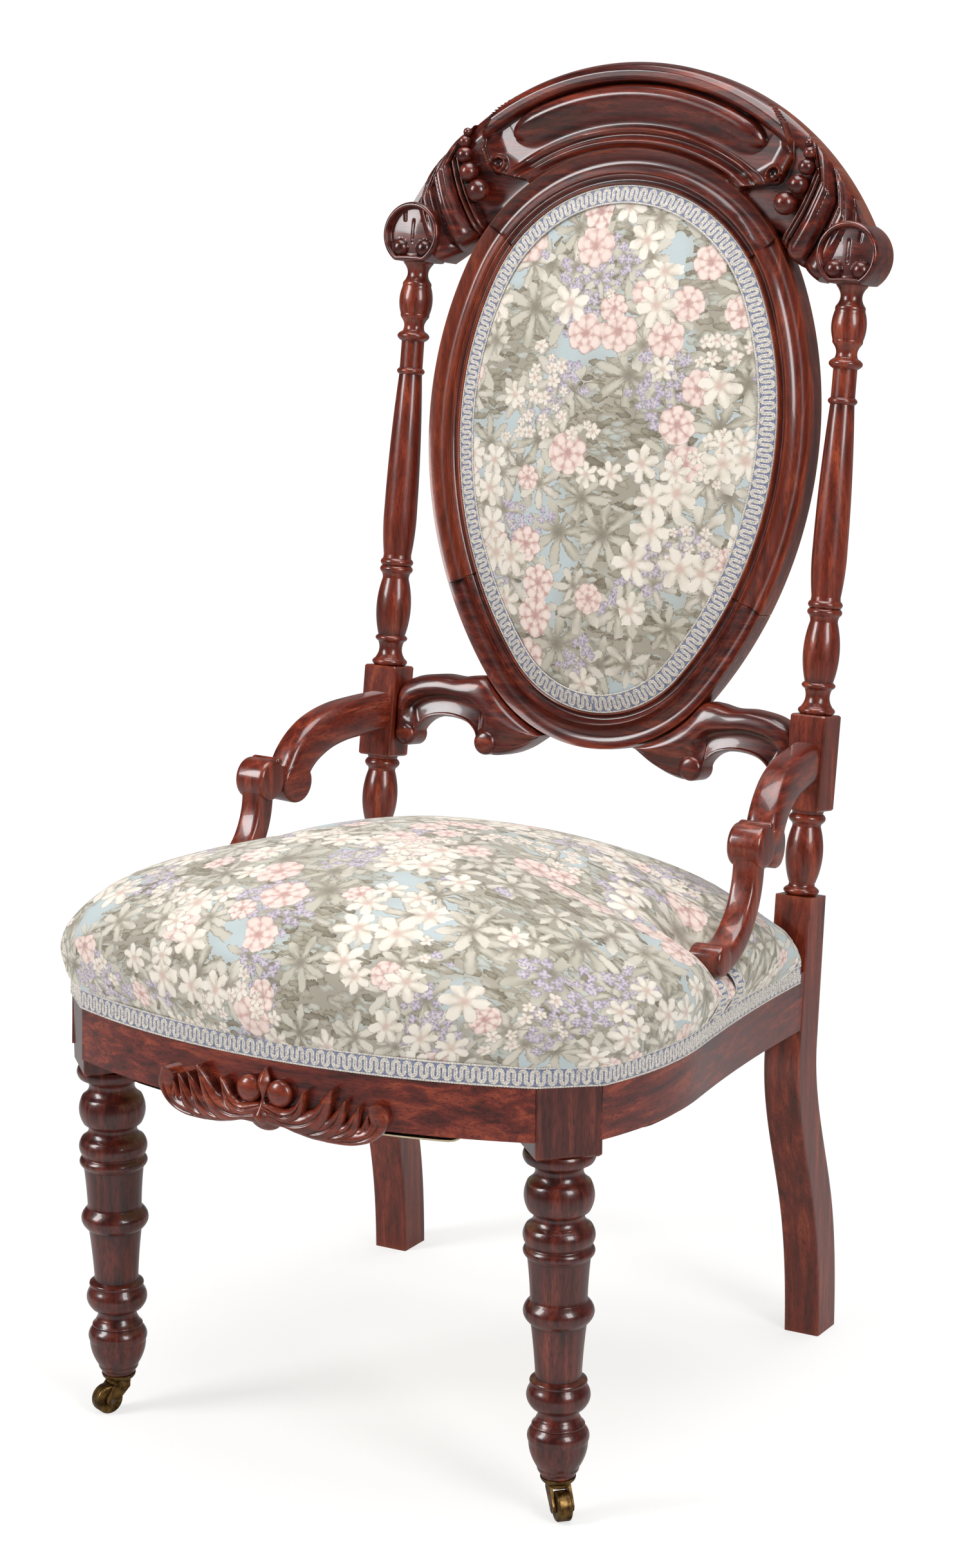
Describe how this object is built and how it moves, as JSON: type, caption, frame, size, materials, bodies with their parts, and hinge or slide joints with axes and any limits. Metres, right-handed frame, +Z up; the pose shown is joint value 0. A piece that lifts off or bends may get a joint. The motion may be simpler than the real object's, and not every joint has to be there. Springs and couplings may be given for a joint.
{
  "type": "upholstered side chair",
  "caption": "Carved parlour side chair with an arched crest over an oval padded back, raked turned posts, low scrolled arms, a crowned tapestry seat and turned front legs on casters.",
  "frame": {"origin": "on the floor under the middle of the chair's overall box", "axes": "+Z up, -Y to the front of the chair, +X to the right of someone looking at its front"},
  "size_m": [0.5046, 0.5967, 1.0316],
  "materials": {
    "mahogany": "polished",
    "pine": "raw",
    "beech": "raw",
    "jute_webbing": "woven",
    "canvas": "woven",
    "base_cloth": "woven",
    "back_cloth": "woven",
    "tapestry": "woven floral",
    "braid": "woven",
    "brass": "worn",
    "steel": "worn"
  },
  "bodies": {
    "chair": {"front_rail": "mahogany", "side_rail_left": "mahogany", "side_rail_right": "mahogany", "back_rail": "mahogany", "front_leg_left": "mahogany", "front_leg_right": "mahogany", "back_post_left": "mahogany", "back_post_right": "mahogany", "crest_rail": "mahogany", "oval_side_left": "mahogany", "oval_side_right": "mahogany", "oval_bottom": "mahogany", "back_bracket_left": "mahogany", "back_bracket_right": "mahogany", "arm_left": "mahogany", "arm_right": "mahogany", "arm_support_left": "mahogany", "arm_support_right": "mahogany", "front_carving": "mahogany", "corner_blocks": "pine", "dowels": "beech", "webbing_long": "jute_webbing", "webbing_cross": "jute_webbing", "seat_canvas": "canvas", "back_canvas": "canvas", "base_cloth": "base_cloth", "back_cloth": "back_cloth", "seat_pad": "tapestry", "back_pad": "tapestry", "seat_braid": "braid", "back_braid": "braid", "caster_plate_left": "brass", "caster_stem_left": "steel", "caster_plate_right": "brass", "caster_stem_right": "steel"},
    "horn_right": {"caster_horn_right": "brass", "caster_axle_right": "steel"},
    "wheel_right": {"caster_wheel_right": "brass"},
    "horn_left": {"caster_horn_left": "brass", "caster_axle_left": "steel"},
    "wheel_left": {"caster_wheel_left": "brass"}
  },
  "joints": [
    {"name": "caster_swivel_right", "type": "hinge", "parent": "chair", "child": "horn_right", "pos_m": [0.1975, -0.21, 0.0234], "axis": [0, 0, 1], "continuous": true},
    {"name": "wheel_spin_right", "type": "hinge", "parent": "horn_right", "child": "wheel_right", "pos_m": [0.20528, -0.21778, 0.0114], "axis": [-0.7071, -0.7071, 0], "continuous": true},
    {"name": "caster_swivel_left", "type": "hinge", "parent": "chair", "child": "horn_left", "pos_m": [-0.1975, -0.21, 0.0234], "axis": [0, 0, 1], "continuous": true},
    {"name": "wheel_spin_left", "type": "hinge", "parent": "horn_left", "child": "wheel_left", "pos_m": [-0.20197, -0.22005, 0.0114], "axis": [-0.9135, 0.4067, 0], "continuous": true}
  ]
}
